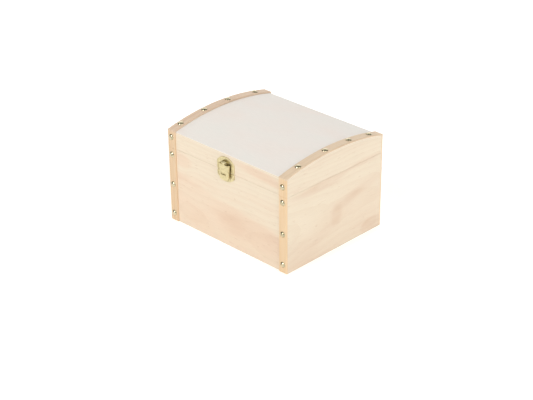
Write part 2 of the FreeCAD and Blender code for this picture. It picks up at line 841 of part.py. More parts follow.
# Hasp: a brass strip rolled round its pin, with turned-back sides and a slot that drops over the lug.
hasp = new_body("hasp_tongue")
hasp_length = on_sheet("hasp_length")
hasp_half = on_sheet("hasp_width") / 2
hasp_corner = on_sheet("hasp_corner")
section = new_sketch(hasp, "hasp_section", "YZ_Plane")
meeting = -root(hasp_knuckle * hasp_knuckle - hasp_bore * hasp_bore)
points = [
    (-hasp_bore, meeting),
    (-hasp_knuckle, 0),
    (-hasp_knuckle, -hasp_length),
    (-hasp_bore, -hasp_length),
]
outline(section, points, {0: (0, 0)})
circle(section, (0, 0), hasp_bore)
pad(hasp, section, hasp_half * 2, both_ways=True)
openings = new_sketch(hasp, "hasp_openings", "XZ_Plane")
shoulder = -(hasp_knuckle + on_sheet("notch_clearance"))
for _, side in SIDES:
    rectangle(openings, mirrored(side, hasp_knuckle_half, hasp_half + OVERCUT),
              (shoulder, hasp_knuckle + OVERCUT))
slot_half = on_sheet("lug_width") / 2 + on_sheet("slot_side_room")
slot_middle = catch_plate_top - lug_drop - hasp_axis_z
slot_reach = lug_half + on_sheet("slot_end_room")
rectangle(openings, (-slot_half, slot_half), (slot_middle - slot_reach, slot_middle + slot_reach))
slotted = pocket_through(hasp, openings)
round_edges(hasp, "hasp_tip", slotted, hasp_corner, lambda points: (
    all(near(point.z, -hasp_length) and near(abs(point.x), hasp_half) for point in points)))
web_middle = -(hasp_bore + hasp_thickness / 2)
flange_end = hasp_corner - hasp_length
points = [
    (web_middle, flange_end),
    (on_sheet("hasp_flange_tip") - hasp_bore, flange_end),
    (on_sheet("hasp_flange_top") - hasp_bore, shoulder),
    (web_middle, shoulder),
]
for side_name, flange_left in (("left", -hasp_half), ("right", hasp_half - hasp_thickness)):
    flange = new_sketch(hasp, f"hasp_{side_name}_flange", "YZ_Plane", flange_left)
    outline(flange, points)
    flanged = pad(hasp, flange, hasp_thickness)
round_edges(hasp, "hasp_bends", flanged, on_sheet("hasp_bend"), lambda points: (
    all(near(point.y, -hasp_knuckle) and near(abs(point.x), hasp_half) for point in points)))
bind_place(hasp, 0, hasp_axis_y, hasp_axis_z)
node(hasp, "hasp")

pin_start = (-ear_end, hasp_axis_y, hasp_axis_z)
node(rod("hasp_axle", hasp_pin_radius, ear_end * 2, pin_start, Rotation(ABOUT_Y, 90)), "hasp_pin")

doc.recompute()
for thing in doc.Objects:
    if {"Invalid", "Error"} & set(thing.State):
        raise RuntimeError(f"{thing.Label} failed: {thing.State}")
for thing in nodes:
    if thing.Shape.isNull() or not thing.Shape.isValid():
        raise RuntimeError(f"{thing.Label} has no valid shape")

os.makedirs("parts", exist_ok=True)
for thing in nodes:
    thing.Shape.exportStep(os.path.join("parts", f"{thing.Label}.step"))
    print(thing.Label, len(thing.Shape.Solids), round(thing.Shape.Volume, 2))
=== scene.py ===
import math

import bmesh
import bpy
from mathutils import Euler, Matrix, Quaternion, Vector


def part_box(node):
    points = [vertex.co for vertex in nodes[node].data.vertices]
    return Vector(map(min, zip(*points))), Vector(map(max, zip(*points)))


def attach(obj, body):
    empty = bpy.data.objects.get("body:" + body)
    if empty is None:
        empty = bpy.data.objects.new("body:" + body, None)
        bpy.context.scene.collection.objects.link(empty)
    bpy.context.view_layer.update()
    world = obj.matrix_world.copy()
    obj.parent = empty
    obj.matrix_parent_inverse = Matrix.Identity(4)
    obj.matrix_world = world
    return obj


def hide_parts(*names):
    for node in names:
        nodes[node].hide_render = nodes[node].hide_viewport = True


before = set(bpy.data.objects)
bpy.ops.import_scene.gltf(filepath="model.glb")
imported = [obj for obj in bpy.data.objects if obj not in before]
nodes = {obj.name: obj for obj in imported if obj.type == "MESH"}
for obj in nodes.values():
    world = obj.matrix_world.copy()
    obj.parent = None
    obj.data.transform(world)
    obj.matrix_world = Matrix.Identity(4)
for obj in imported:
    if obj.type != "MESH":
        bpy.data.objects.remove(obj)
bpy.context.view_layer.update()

bpy.ops.object.select_all(action="DESELECT")


# Front and rear boards of the box.
# Planed and sanded pine, 8 mm thick and left bare, with the grain along the length.
# Their ends are glued into rebates in the side boards, and the corner straps hide the joint.
def linear(colour):
    """An sRGB hex colour as the linear colour that a shader takes."""
    parts = [int(colour[start:start + 2], 16) / 255 for start in (1, 3, 5)]
    return [p / 12.92 if p <= 0.04045 else ((p + 0.055) / 1.055) ** 2.4 for p in parts] + [1]


def add(tree, kind, settings=(), inputs=(), stops=()):
    """Adds a node with its settings, its inputs given as values or links, and the stops of its ramp."""
    node = tree.nodes.new(kind)
    for name, value in dict(settings).items():
        setattr(node, name, value)
    for name, value in dict(inputs).items():
        if isinstance(value, bpy.types.NodeSocket):
            tree.links.new(value, node.inputs[name])
        else:
            node.inputs[name].default_value = value
    for index, (position, colour) in enumerate(stops):
        ramp = node.color_ramp.elements
        stop = ramp[index] if index < len(ramp) else ramp.new(position)
        stop.position = position
        stop.color = linear(colour)
    return node


# a Mix node for colours has its two colours at these inputs, and the mixed one at this output
colour_a, colour_b, mixed = 6, 7, 2
mm_per_metre = 1000


def new_material(name, turn=0):
    """A material, its nodes, its shader, and the places on its piece in millimetres, turned about Z."""
    material = bpy.data.materials.new(name)
    material.use_nodes = True
    tree = material.node_tree
    place = add(tree, "ShaderNodeTexCoord").outputs["Object"]
    mm = add(tree, "ShaderNodeMapping", inputs={
        "Vector": place, "Rotation": (0, 0, turn), "Scale": [mm_per_metre] * 3})
    return material, tree, tree.nodes["Principled BSDF"], mm.outputs["Vector"]


def dress(names, material):
    """Gives CAD nodes one material."""
    for name in names:
        for slot in nodes[name].material_slots:
            slot.material = material


def pine(name, turn, pith, lean, knot, tones, flushes):
    """Pale earlywood between faint latewood lines, with broad flushes of pinker heartwood.

    turn brings the grain onto X. pith, in millimetres, and lean, in radians, place the heart of the log
    that the board was sawn from, and so decide where the growth rings run straight and where they arch.
    The grain parts round the knot. Each flush is an oval: its middle, its half lengths, its slope
    in degrees, how soft its edge is and how dark it gets, along the three tones.
    """
    material, tree, shader, mm = new_material(name, turn)

    # the grain wanders a few millimetres up and down over the length of a hand
    wander_length, wander_width, wander_swing = 90, 45, 12
    slow = add(tree, "ShaderNodeMapping", inputs={
        "Vector": mm, "Scale": (1 / wander_length, 1 / wander_width, 1 / wander_width)})
    wander = add(tree, "ShaderNodeTexNoise", inputs={
        "Vector": slow.outputs["Vector"], "Scale": 1, "Detail": 3, "Roughness": 0.45})
    swing = add(tree, "ShaderNodeVectorMath", {"operation": "SUBTRACT"}, {
        0: wander.outputs["Color"], 1: (0.5, 0.5, 0.5)})
    moved = add(tree, "ShaderNodeVectorMath", {"operation": "MULTIPLY_ADD"}, {
        0: swing.outputs["Vector"], 1: (0, wander_swing, wander_swing), 2: mm}).outputs["Vector"]

    # round the knot it swells
    knot_reach, knot_swell = 25, 0.7
    from_knot = add(tree, "ShaderNodeVectorMath", {"operation": "SUBTRACT"}, {0: moved, 1: knot})
    reach = add(tree, "ShaderNodeVectorMath", {"operation": "LENGTH"}, {0: from_knot.outputs["Vector"]})
    swell = add(tree, "ShaderNodeMapRange", {"interpolation_type": "SMOOTHERSTEP"}, {
        "Value": reach.outputs["Value"], "From Min": knot_reach, "From Max": 0, "To Max": -knot_swell})
    parted = add(tree, "ShaderNodeVectorMath", {"operation": "MULTIPLY_ADD"}, {
        0: from_knot.outputs["Vector"], 1: swell.outputs["Result"], 2: moved}).outputs["Vector"]

    # growth rings, each paling at once after its dark summer edge, in bands of several years
    ring_spacing, years_in_band = 4.2, 5
    wave_period = math.pi / 10  # the length of one wave at scale 1
    tilt = Euler(lean).to_matrix()
    log = add(tree, "ShaderNodeMapping", inputs={
        "Vector": parted, "Location": tilt @ -Vector(pith), "Rotation": lean}).outputs["Vector"]
    rings = add(tree, "ShaderNodeTexWave", {
        "wave_type": "RINGS", "rings_direction": "X", "wave_profile": "SAW"}, {
        "Vector": log, "Scale": wave_period / ring_spacing, "Distortion": 0})
    summer = add(tree, "ShaderNodeMapRange", {"interpolation_type": "SMOOTHSTEP"}, {
        "Value": rings.outputs["Fac"], "From Min": 0.3, "From Max": 1.0})
    years = add(tree, "ShaderNodeTexWave", {
        "wave_type": "RINGS", "rings_direction": "X", "wave_profile": "SIN"}, {
        "Vector": log, "Scale": wave_period / (ring_spacing * years_in_band), "Distortion": 0})

    # soft mottling, and the flushes of heartwood
    mottle_length, mottle_width = 60, 18
    band_share, ring_share = 0.25, 0.09
    cloud = add(tree, "ShaderNodeMapping", inputs={
        "Vector": parted, "Scale": (1 / mottle_length, 1 / mottle_width, 1 / mottle_width)})
    mottle = add(tree, "ShaderNodeTexNoise", inputs={
        "Vector": cloud.outputs["Vector"], "Scale": 1, "Detail": 3, "Roughness": 0.55})
    soft = add(tree, "ShaderNodeMapRange", {"interpolation_type": "SMOOTHSTEP"}, {
        "Value": mottle.outputs["Fac"], "From Min": 0.35, "From Max": 0.75})
    banded = add(tree, "ShaderNodeMath", {"operation": "MULTIPLY"}, {
        0: years.outputs["Fac"], 1: soft.outputs["Result"]})
    blush = add(tree, "ShaderNodeMath", {"operation": "MULTIPLY"}, {
        0: banded.outputs["Value"], 1: band_share})
    for middle, half_lengths, slope, softness, share in flushes:
        oval = add(tree, "ShaderNodeMapping", {"vector_type": "TEXTURE"}, {
            "Vector": moved, "Location": middle, "Rotation": (0, -math.radians(slope), 0),
            "Scale": half_lengths})
        spread = add(tree, "ShaderNodeVectorMath", {"operation": "LENGTH"}, {0: oval.outputs["Vector"]})
        inside = add(tree, "ShaderNodeMapRange", {"interpolation_type": "SMOOTHSTEP"}, {
            "Value": spread.outputs["Value"], "From Min": 1 + softness / 2, "From Max": 1 - softness / 2,
            "To Max": share})
        blush = add(tree, "ShaderNodeMath", {"operation": "ADD"}, {
            0: blush.outputs["Value"], 1: inside.outputs["Result"]})
    patchy = add(tree, "ShaderNodeMapRange", inputs={
        "Value": soft.outputs["Result"], "To Min": 0.8, "To Max": 1.15})
    flushed = add(tree, "ShaderNodeMath", {"operation": "MULTIPLY", "use_clamp": True}, {
        0: blush.outputs["Value"], 1: patchy.outputs["Result"]})
    body = add(tree, "ShaderNodeValToRGB", inputs={"Fac": flushed.outputs["Value"]},
               stops=zip((0, 0.5, 1), tones))
    lined = add(tree, "ShaderNodeMath", {"operation": "MULTIPLY"}, {
        0: summer.outputs["Result"], 1: ring_share})
    ringed = add(tree, "ShaderNodeMix", {"data_type": "RGBA"}, {
        "Factor": lined.outputs["Value"], colour_a: body.outputs["Color"], colour_b: linear("#BE9670")})

    # fine fibres, and sparse brown resin canals, both drawn wider than the real ones so that they show
    fibre_length, fibre_width = 22, 0.6
    canal_length, canal_width = 9, 0.9
    fine = add(tree, "ShaderNodeMapping", inputs={
        "Vector": parted, "Scale": (1 / fibre_length, 1 / fibre_width, 1 / fibre_width)})
    fibre = add(tree, "ShaderNodeTexNoise", inputs={
        "Vector": fine.outputs["Vector"], "Scale": 1, "Detail": 2, "Roughness": 0.6})
    shade = add(tree, "ShaderNodeMapRange", inputs={
        "Value": fibre.outputs["Fac"], "From Min": 0.3, "From Max": 0.7, "To Min": 0.97, "To Max": 1.02})
    fibred = add(tree, "ShaderNodeMix", {"data_type": "RGBA", "blend_type": "MULTIPLY"}, {
        "Factor": 1, colour_a: ringed.outputs[mixed], colour_b: shade.outputs["Result"]})
    dashes = add(tree, "ShaderNodeMapping", inputs={
        "Vector": parted, "Scale": (1 / canal_length, 1 / canal_width, 1 / canal_width)})
    canal = add(tree, "ShaderNodeTexNoise", inputs={
        "Vector": dashes.outputs["Vector"], "Scale": 1, "Detail": 0})
    canals = add(tree, "ShaderNodeMapRange", inputs={
        "Value": canal.outputs["Fac"], "From Min": 0.74, "From Max": 0.82, "To Max": 0.25})
    colour = add(tree, "ShaderNodeMix", {"data_type": "RGBA"}, {
        "Factor": canals.outputs["Result"], colour_a: fibred.outputs[mixed], colour_b: linear("#AE8158")})
    tree.links.new(colour.outputs[mixed], shader.inputs["Base Color"])

    # sanded bare wood: dull, a little smoother on the hard summer lines, with raised fibres
    dull = add(tree, "ShaderNodeMapRange", inputs={
        "Value": summer.outputs["Result"], "To Min": 0.68, "To Max": 0.58})
    tree.links.new(dull.outputs["Result"], shader.inputs["Roughness"])
    shader.inputs["IOR"].default_value = 1.45
    ring_relief = 0.4
    relief = add(tree, "ShaderNodeMath", {"operation": "MULTIPLY_ADD"}, {
        0: summer.outputs["Result"], 1: ring_relief, 2: fibre.outputs["Fac"]})
    bump = add(tree, "ShaderNodeBump", inputs={
        "Strength": 0.3, "Distance": 0.0001, "Height": relief.outputs["Value"]})
    tree.links.new(bump.outputs["Normal"], shader.inputs["Normal"])
    return material


# On the front board the heartwood fills the lower part, under an edge that falls slowly to the right.
# The rail sawn off above it has one pink streak, and the rear board's heartwood runs along its top.
front_face = round(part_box("front_wall")[0].y * mm_per_metre)
rear_face = -front_face
long_pine = pine(
    "pine_long_boards", turn=0, pith=(0, -20, 22), lean=(0, 0.03, 0.02), knot=(-73, front_face, 82),
    tones=("#DDCFB9", "#DCC7B0", "#D6BCA4"), flushes=[
        # middle, half lengths, slope, softness, share
        ((0, front_face, -67), (700, 140, 120), -8.5, 0.07, 0.42),
        ((42, front_face, 34), (60, 120, 18), -6, 0.9, 0.38),
        ((6, front_face, 28), (22, 120, 14), 20, 0.9, 0.25),
        ((-73, front_face, 83), (14, 120, 9), 0, 0.9, 0.6),
        ((56, front_face, 108), (40, 120, 6), -4, 0.9, 0.6),
        ((20, rear_face, 84), (150, 60, 22), 4, 0.6, 0.55)])
dress(["front_wall", "rear_wall"], long_pine)


# Side boards of the box.
# The same pine, sawn through a branch, so the grain of the right one parts round a small rosy knot.
# They run the full depth, and their rebated ends take the front and rear boards.
half_width = round(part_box("right_wall")[1].x * mm_per_metre)
right_face, left_face = -half_width, half_width  # where they lie on Y once the grain is turned onto X
side_pine = pine(
    "pine_side_boards", turn=-math.pi / 2, pith=(0, -35, 48), lean=(0, 0, -0.05), knot=(3, right_face, 47),
    # the side tones are a little darker and greyer than the front boards', most in the deep tone: painted
    # shade for the sides' dimmer light
    tones=("#DCCEB8", "#D7C4AE", "#CFB69D"), flushes=[
        ((24, right_face, 22), (95, 120, 44), 12, 0.7, 0.27),
        ((2, right_face, 45), (9, 120, 15), 0, 1.0, 0.45),
        ((22, right_face, 58), (22, 120, 7), 14, 1.2, 0.3),
        ((52, right_face, 65), (28, 120, 6.5), 10, 1.1, 0.28),
        ((-14, right_face, 30), (24, 120, 7), 22, 1.1, 0.3),
        ((-26, right_face, 90), (42, 120, 6), 2, 0.8, 0.5),
        ((46, right_face, 94), (32, 120, 2.5), 1, 0.9, 0.4),
        # a darker rounded patch low at the rear end of the right board
        ((64, right_face, 6), (19, 120, 11), 0, 0.35, 0.38),
        ((-66, right_face, 10), (36, 120, 26), -10, 1.1, 0.24),
        ((-10, left_face, 30), (120, 60, 20), -5, 0.6, 0.5)])
dress(["left_wall", "right_wall"], side_pine)


# Bottom panel.
# Thin three-ply of lime, sanded smooth: nearly white, with short fine pores and little figure.
# It is let into a rebate round the walls' lower edges and glued.
def lime_ply(name, edge_low, edge_high, edge_field):
    """A pale veneer whose browner core shows as a line on the sawn edges.

    edge_field adds the nodes that measure the way through the plies, from edge_low to edge_high.
    """
    material, tree, shader, mm = new_material(name)
    cloud_length, cloud_width = 70, 40
    wide = add(tree, "ShaderNodeMapping", inputs={
        "Vector": mm, "Scale": (1 / cloud_length, 1 / cloud_width, 1 / cloud_width)})
    cloud = add(tree, "ShaderNodeTexNoise", inputs={
        "Vector": wide.outputs["Vector"], "Scale": 1, "Detail": 2})
    veneer = add(tree, "ShaderNodeValToRGB", inputs={"Fac": cloud.outputs["Fac"]}, stops=[
        (0.3, "#DEDAD2"), (0.52, "#E0D9D1"), (0.72, "#E1D7CE")])

    # pores, drawn wider than the real ones so that they show
    pore_length, pore_width = 9, 0.5
    fine = add(tree, "ShaderNodeMapping", inputs={
        "Vector": mm, "Scale": (1 / pore_length, 1 / pore_width, 1 / pore_width)})
    pore = add(tree, "ShaderNodeTexNoise", inputs={
        "Vector": fine.outputs["Vector"], "Scale": 1, "Detail": 2, "Roughness": 0.6})
    shade = add(tree, "ShaderNodeMapRange", inputs={
        "Value": pore.outputs["Fac"], "From Min": 0.3, "From Max": 0.7, "To Min": 0.97, "To Max": 1.015})
    grained = add(tree, "ShaderNodeMix", {"data_type": "RGBA", "blend_type": "MULTIPLY"}, {
        "Factor": 1, colour_a: veneer.outputs["Color"], colour_b: shade.outputs["Result"]})

    # the sawn edges, which are the faces that don't look up or down
    depth = add(tree, "ShaderNodeMapRange", inputs={
        "Value": edge_field(tree, mm), "From Min": edge_low, "From Max": edge_high})
    plies = add(tree, "ShaderNodeValToRGB", inputs={"Fac": depth.outputs["Result"]}, stops=[
        (0.0, "#E4D9C8"), (0.3, "#E2D6C4"), (0.36, "#D2BFA5"), (0.64, "#D5C4AB"), (0.7, "#E5DACA"),
        (1.0, "#E8DECF")])
    normal = add(tree, "ShaderNodeTexCoord").outputs["Normal"]
    facing = add(tree, "ShaderNodeSeparateXYZ", inputs={"Vector": normal})
    across = add(tree, "ShaderNodeMath", {"operation": "ABSOLUTE"}, {0: facing.outputs["Z"]})
    sawn = add(tree, "ShaderNodeMapRange", inputs={
        "Value": across.outputs["Value"], "From Min": 0.75, "From Max": 0.6})
    colour = add(tree, "ShaderNodeMix", {"data_type": "RGBA"}, {
        "Factor": sawn.outputs["Result"], colour_a: grained.outputs[mixed],
        colour_b: plies.outputs["Color"]})
    tree.links.new(colour.outputs[mixed], shader.inputs["Base Color"])
    shader.inputs["Roughness"].default_value = 0.6
    shader.inputs["IOR"].default_value = 1.45
    bump = add(tree, "ShaderNodeBump", inputs={
        "Strength": 0.2, "Distance": 0.0001, "Height": pore.outputs["Fac"]})
    tree.links.new(bump.outputs["Normal"], shader.inputs["Normal"])
    return material


def panel_depth(tree, mm):
    """The height through a flat panel."""
    return add(tree, "ShaderNodeSeparateXYZ", inputs={"Vector": mm}).outputs["Z"]


panel_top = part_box("bottom_panel")[1].z * mm_per_metre
dress(["bottom_panel"], lime_ply("lime_ply_panel", 0, panel_top, panel_depth))


# Corner straps of the box.
# Thin laths of a browner wood with straight grain, their edges eased.
# One is nailed upright over each corner, and the left ones are a little darker: painted shade for the
# dimmer light on the left.
def lath(name, stretch, tone):
    """Straight-grained tan wood; stretch is the length of its streaks along each axis, in millimetres."""
    material, tree, shader, mm = new_material(name)
    streaks = add(tree, "ShaderNodeMapping", inputs={
        "Vector": mm, "Scale": [1 / size for size in stretch]}).outputs["Vector"]
    broad = add(tree, "ShaderNodeTexNoise", inputs={
        "Vector": streaks, "Scale": 0.25, "Detail": 3, "Roughness": 0.55})
    body = add(tree, "ShaderNodeValToRGB", inputs={"Fac": broad.outputs["Fac"]}, stops=tone)
    fibre = add(tree, "ShaderNodeTexNoise", inputs={
        "Vector": streaks, "Scale": 1.4, "Detail": 2, "Roughness": 0.6})
    shade = add(tree, "ShaderNodeMapRange", inputs={
        "Value": fibre.outputs["Fac"], "From Min": 0.3, "From Max": 0.7, "To Min": 0.95, "To Max": 1.04})
    colour = add(tree, "ShaderNodeMix", {"data_type": "RGBA", "blend_type": "MULTIPLY"}, {
        "Factor": 1, colour_a: body.outputs["Color"], colour_b: shade.outputs["Result"]})
    tree.links.new(colour.outputs[mixed], shader.inputs["Base Color"])
    shader.inputs["Roughness"].default_value = 0.6
    shader.inputs["IOR"].default_value = 1.45
    bump = add(tree, "ShaderNodeBump", inputs={
        "Strength": 0.35, "Distance": 0.0001, "Height": fibre.outputs["Fac"]})
    tree.links.new(bump.outputs["Normal"], shader.inputs["Normal"])
    return material


upright_grain = (0.7, 0.7, 26)
right_lath = lath("strap_lath_right", upright_grain, [
    (0.3, "#DDC29E"), (0.5, "#DBBE99"), (0.7, "#D6B78E")])
# painted shade: the left laths' tones are a little darker than the right ones'
shaded_left_lath = lath("strap_lath_left", upright_grain, [
    (0.3, "#D6BC9B"), (0.5, "#D3B795"), (0.7, "#CDAE8A")])
dress(["front_right_strip", "rear_right_strip"], right_lath)
dress(["front_left_strip", "rear_left_strip"], shaded_left_lath)


# Domed nails of the box.
# Brass-plated upholstery nails with turned edges, hammered through the straps into the boards.
# Three hold each upright strap, spaced by eye.
def bright_metal(name, tone, tarnish, grit_size, relief, gloss):
    """Bright metal that is cloudy where it has dulled, and slightly uneven.

    tone and tarnish are the colours of the clean metal and of the dulled metal, and gloss holds their
    roughness. grit_size is the width of the unevenness in millimetres and relief is its strength.
    """
    material, tree, shader, mm = new_material(name)
    cloud_size = 2.5
    cloud = add(tree, "ShaderNodeTexNoise", inputs={
        "Vector": mm, "Scale": 1 / cloud_size, "Detail": 3, "Roughness": 0.6})
    dulled = add(tree, "ShaderNodeMapRange", inputs={
        "Value": cloud.outputs["Fac"], "From Min": 0.45, "From Max": 0.75})
    colour = add(tree, "ShaderNodeMix", {"data_type": "RGBA"}, {
        "Factor": dulled.outputs["Result"], colour_a: linear(tone), colour_b: linear(tarnish)})
    tree.links.new(colour.outputs[mixed], shader.inputs["Base Color"])
    shader.inputs["Metallic"].default_value = 1
    clean_roughness, dull_roughness = gloss
    rough = add(tree, "ShaderNodeMapRange", inputs={
        "Value": cloud.outputs["Fac"], "From Min": 0.3, "From Max": 0.8,
        "To Min": clean_roughness, "To Max": dull_roughness})
    tree.links.new(rough.outputs["Result"], shader.inputs["Roughness"])
    grit = add(tree, "ShaderNodeTexNoise", inputs={"Vector": mm, "Scale": 1 / grit_size, "Detail": 2})
    bump = add(tree, "ShaderNodeBump", inputs={
        "Strength": relief, "Distance": 0.0001, "Height": grit.outputs["Fac"]})
    tree.links.new(bump.outputs["Normal"], shader.inputs["Normal"])
    return material


def domed_pattern(name, radius, height, lip, shank, length):
    """A domed head on a pointed shank, upright, with its seat at the origin; shank is its radius."""
    dome = (radius ** 2 + (height - lip) ** 2) / (2 * (height - lip))
    point = 2 * shank
    bpy.ops.mesh.primitive_uv_sphere_add(
        segments=40, ring_count=48, radius=dome, location=(0, 0, height - dome))
    piece = bpy.context.object
    piece.name = name
    bpy.ops.object.transform_apply()
    bpy.ops.object.mode_set(mode="EDIT")
    bpy.ops.mesh.select_all(action="SELECT")
    bpy.ops.mesh.bisect(plane_co=(0, 0, lip), plane_no=(0, 0, 1), clear_inner=True, threshold=1e-7)
    bpy.ops.mesh.extrude_region_move(TRANSFORM_OT_translate={"value": (0, 0, -lip)})
    bpy.ops.mesh.edge_face_add()
    bpy.ops.mesh.inset(thickness=radius - shank)
    bpy.ops.mesh.extrude_region_move(TRANSFORM_OT_translate={"value": (0, 0, point - length)})
    bpy.ops.mesh.extrude_region_move(TRANSFORM_OT_translate={"value": (0, 0, -point)})
    bpy.ops.mesh.merge(type="CENTER")
    bpy.ops.mesh.select_all(action="SELECT")
    bpy.ops.mesh.normals_make_consistent(inside=False)
    bpy.ops.object.mode_set(mode="OBJECT")
    soft = piece.modifiers.new("turned_edge", "BEVEL")
    soft.width = lip / 4
    soft.segments = 3
    soft.limit_method = "ANGLE"
    soft.angle_limit = math.radians(30)
    bpy.ops.object.modifier_apply(modifier=soft.name)
    bpy.ops.object.shade_smooth_by_angle(angle=math.radians(40))
    return piece


def set_fasteners(name, pattern, places, material, body, node):
    """Copies of a fastener, each turned to its place, joined into the piece that stands for a node."""
    copies = []
    for place in places:
        copy = pattern.copy()
        copy.data = pattern.data.copy()
        copy.data.transform(place)
        bpy.context.scene.collection.objects.link(copy)
        copies.append(copy)
    bpy.ops.object.select_all(action="DESELECT")
    for copy in copies:
        copy.select_set(True)
    bpy.context.view_layer.objects.active = copies[0]
    bpy.ops.object.join()
    group = bpy.context.object
    group.name = name
    group.data.materials.clear()
    group.data.materials.append(material)
    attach(group, body)
    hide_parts(node)


# the nails' plate is a pale yellow with a green cast, and mirrors the lights
nail_brass = bright_metal(
    "brass_plate_nails", tone="#CEC4A6", tarnish="#9C9172", grit_size=0.6, relief=0.15, gloss=(0.12, 0.3))
nail = domed_pattern("nail_pattern", radius=0.0036, height=0.0022, lip=0.0003, shank=0.0007, length=0.006)
strap_low, strap_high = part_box("front_right_strip")
nail_x = (strap_low.x + strap_high.x) / 2
strap_y = -strap_low.y
# an end is -1 at the front and 1 at the rear, and a side is -1 on the left and 1 on the right
outward = {-1: Matrix.Rotation(math.radians(90), 4, "X"), 1: Matrix.Rotation(math.radians(-90), 4, "X")}
upright_nail_heights = {
    (-1, -1): (0.0099, 0.0479, 0.086825), (-1, 1): (0.0104, 0.0487, 0.087825),
    (1, -1): (0.0102, 0.0483, 0.087325), (1, 1): (0.0102, 0.0483, 0.087325)}
base_nails = [
    Matrix.Translation((side * nail_x, end * strap_y, height)) @ outward[end]
    for (end, side), heights in upright_nail_heights.items() for height in heights]
set_fasteners("base_nails", nail, base_nails, nail_brass, "base", "base_strip_nails")


# Rear hinges.
# Pressed brass-plated leaves, yellower than the nails, rolled round grey steel pins.
# Each leaf is held by two cross-recessed round-head screws.
hinge_brass = bright_metal(
    "brass_plate_hinges", tone="#CDBD88", tarnish="#A59562", grit_size=0.6, relief=0.15, gloss=(0.16, 0.36))
dress(["left_hinge_base_leaf", "right_hinge_base_leaf", "left_hinge_lid_leaf", "right_hinge_lid_leaf"],
      hinge_brass)
pin_steel = bright_metal(
    "drawn_steel_pins", tone="#C9C7C2", tarnish="#9E9C97", grit_size=0.3, relief=0.1, gloss=(0.2, 0.35))
dress(["left_hinge_pin", "right_hinge_pin"], pin_steel)

screw_height = 0.0008
recess_size = (0.0021, 0.0004, 0.0009)
screw = domed_pattern(
    "hinge_screw_pattern", radius=0.0017, height=screw_height, lip=0.0001, shank=0.0008, length=0.006)
for across in (0, 90):
    bpy.ops.mesh.primitive_cube_add(
        size=1, location=(0, 0, screw_height), rotation=(0, 0, math.radians(across)), scale=recess_size)
    blade = bpy.context.object
    bpy.ops.object.transform_apply()
    recess = screw.modifiers.new("cross_recess", "BOOLEAN")
    recess.operation = "DIFFERENCE"
    recess.object = blade
    bpy.context.view_layer.objects.active = screw
    bpy.ops.object.modifier_apply(modifier=recess.name)
    bpy.data.objects.remove(blade)
bpy.ops.object.mode_set(mode="EDIT")
bpy.ops.mesh.select_all(action="SELECT")
bpy.ops.mesh.remove_doubles(threshold=1e-6)
bpy.ops.object.mode_set(mode="OBJECT")
leaf_thickness = 0.0012
half_seam = 0.000075  # half of the gap between the box and the lid
screw_rise, screw_step = 0.0085, 0.0075  # from the seam, and from the middle of the hinge
leaf_low, leaf_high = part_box("right_hinge_base_leaf")
hinge_x = (leaf_low.x + leaf_high.x) / 2
screw_y = leaf_low.y + leaf_thickness
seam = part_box("front_wall")[1].z + half_seam
for name, body, height in (("hinge_base_screws", "base", seam - screw_rise),
                           ("hinge_lid_screws", "lid", seam + screw_rise)):
    places = [
        Matrix.Translation((side * hinge_x + step * screw_step, screw_y, height)) @ outward[1]
        for side in (-1, 1) for step in (-1, 1)]
    set_fasteners(f"cross_head_{name}", screw, places, hinge_brass, body, name)
bpy.data.objects.remove(screw)


# Lid frame.
# Rails and ends of the same pine, sawn off the glued box, so the grain runs on past the seam.
# The ends are sawn to the arch of the lid.
dress(["lid_front_rail", "lid_rear_rail"], long_pine)
dress(["lid_left_end", "lid_right_end"], side_pine)


# Lid sheet.
# Thin lime ply bent over the frame and glued to its edges.
# Its plies follow the bend, so they are told apart by their distance from the bend's axis.
sheet_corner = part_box("lid_top_sheet")[1]
half_depth = sheet_corner.y * mm_per_metre
sheet_top = sheet_corner.z * mm_per_metre
sheet_thickness = 2
bend_rise = 9.6
bend_radius = (half_depth ** 2 + bend_rise ** 2) / (2 * bend_rise)
sheet_radius = bend_radius + sheet_thickness


def sheet_depth(tree, mm):
    """The distance from the axis of the bend."""
    section = add(tree, "ShaderNodeMapping", inputs={
        "Vector": mm, "Scale": (0, 1, 1), "Location": (0, 0, sheet_radius - sheet_top)})
    return add(tree, "ShaderNodeVectorMath", {"operation": "LENGTH"}, {
        0: section.outputs["Vector"]}).outputs["Value"]


dress(["lid_top_sheet"], lime_ply("lime_ply_sheet", bend_radius, sheet_radius, sheet_depth))


# Straps of the lid, and their nails.
# Short upright laths at the corners, and one lath steamed and bent over each end of the sheet.
# Each short one has one nail and each bent one has four.
dress(["lid_front_right_strip", "lid_rear_right_strip"], right_lath)
dress(["lid_front_left_strip", "lid_rear_left_strip"], shaded_left_lath)
bent_grain = (0.7, 26, 6)
# the bent laths' tones are greyer and less yellow than the upright ones': painted shade and a painted sheen
# for their upward faces; the left one is darker still, painted shade for the dimmer light on the left
bent_right = lath("strap_lath_bent_right", bent_grain, [
    (0.3, "#D8C2A6"), (0.5, "#D5BDA0"), (0.7, "#CFB596")])
shaded_bent_left = lath("strap_lath_bent_left", bent_grain, [
    (0.3, "#D4BCA3"), (0.5, "#D0B69C"), (0.7, "#CAAE92")])
dress(["lid_right_arch_strip"], bent_right)
dress(["lid_left_arch_strip"], shaded_bent_left)
glue_line, strap_thickness = 0.1, 1.6
strap_radius = (bend_radius + (sheet_thickness + glue_line + strap_thickness)) / mm_per_metre
bend_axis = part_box("lid_right_arch_strip")[1].z - strap_radius
lid_nail_heights = {(-1, -1): 0.109175, (-1, 1): 0.106875, (1, -1): 0.107975, (1, 1): 0.107975}
lid_nails = [
    Matrix.Translation((side * nail_x, end * strap_y, height)) @ outward[end]
    for (end, side), height in lid_nail_heights.items()]
bent_nail_places = {-1: (-0.0644, -0.0267, 0.0119, 0.0573), 1: (-0.0555, -0.0123, 0.0267, 0.0614)}
